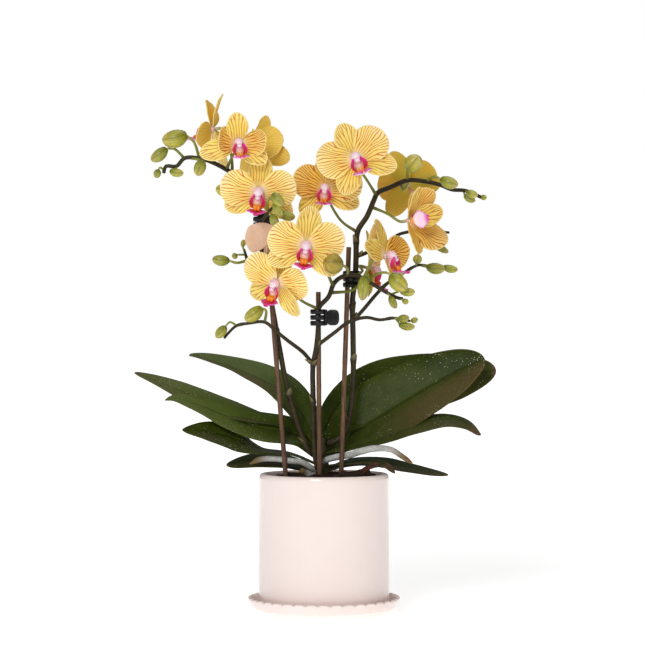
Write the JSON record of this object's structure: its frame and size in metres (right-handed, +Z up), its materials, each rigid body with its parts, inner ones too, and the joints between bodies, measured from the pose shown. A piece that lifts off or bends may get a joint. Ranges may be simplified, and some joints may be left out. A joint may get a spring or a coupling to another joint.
{
  "type": "potted moth orchid",
  "caption": "Moth orchid with staked flower spikes, striped yellow blooms and magenta lips over broad leaves, in a plain glazed pot on a scalloped saucer.",
  "frame": {"origin": "middle of the saucer's flat underside, on the pot's axis", "axes": "+Z up along the pot's axis, -Y towards the front that the blooms face, +X to the right seen from there"},
  "size_m": [0.316, 0.1388, 0.4472],
  "materials": {
    "glaze": "satin",
    "liner": "satin",
    "bark": "matte",
    "bamboo": "matte",
    "clip": "satin",
    "card": "matte",
    "crown": "satin",
    "leaf": "satin",
    "root": "matte",
    "stem": "satin",
    "petal": "satin",
    "lip": "satin"
  },
  "bodies": {
    "root": {"saucer": "glaze", "pot": "glaze", "nursery_pot": "liner", "bark_bed": "bark", "bark_flake": "bark", "stake_centre": "bamboo", "stake_left": "bamboo", "stake_right": "bamboo", "crown": "crown", "leaf_left_bottom": "leaf", "leaf_left_front": "leaf", "leaf_left_long": "leaf", "leaf_left_low": "leaf", "leaf_left_top": "leaf", "leaf_right_arched": "leaf", "leaf_right_back": "leaf", "leaf_right_front": "leaf", "leaf_right_low": "leaf", "leaf_right_short": "leaf", "root_left": "root", "root_right": "root", "root_stub": "root", "spike_centre": "stem", "spike_left": "stem", "spike_right": "stem", "bloom_back_left": "petal", "bloom_back_right": "petal", "bloom_behind_right": "petal", "bloom_centre": "petal", "bloom_left": "petal", "bloom_lower_left": "petal", "bloom_lower_right": "petal", "bloom_right": "petal", "bloom_side": "petal", "bloom_upper": "petal", "bloom_upper_left": "petal", "bloom_upper_middle": "petal", "lip_back_left": "lip", "lip_back_right": "lip", "lip_behind_right": "lip", "lip_centre": "lip", "lip_left": "lip", "lip_lower_left": "lip", "lip_lower_right": "lip", "lip_right": "lip", "lip_side": "lip", "lip_upper": "lip", "lip_upper_left": "lip", "lip_upper_middle": "lip", "clip_centre": "clip", "clip_left": "clip", "clip_right": "clip", "tag": "card"}
  },
  "joints": []
}
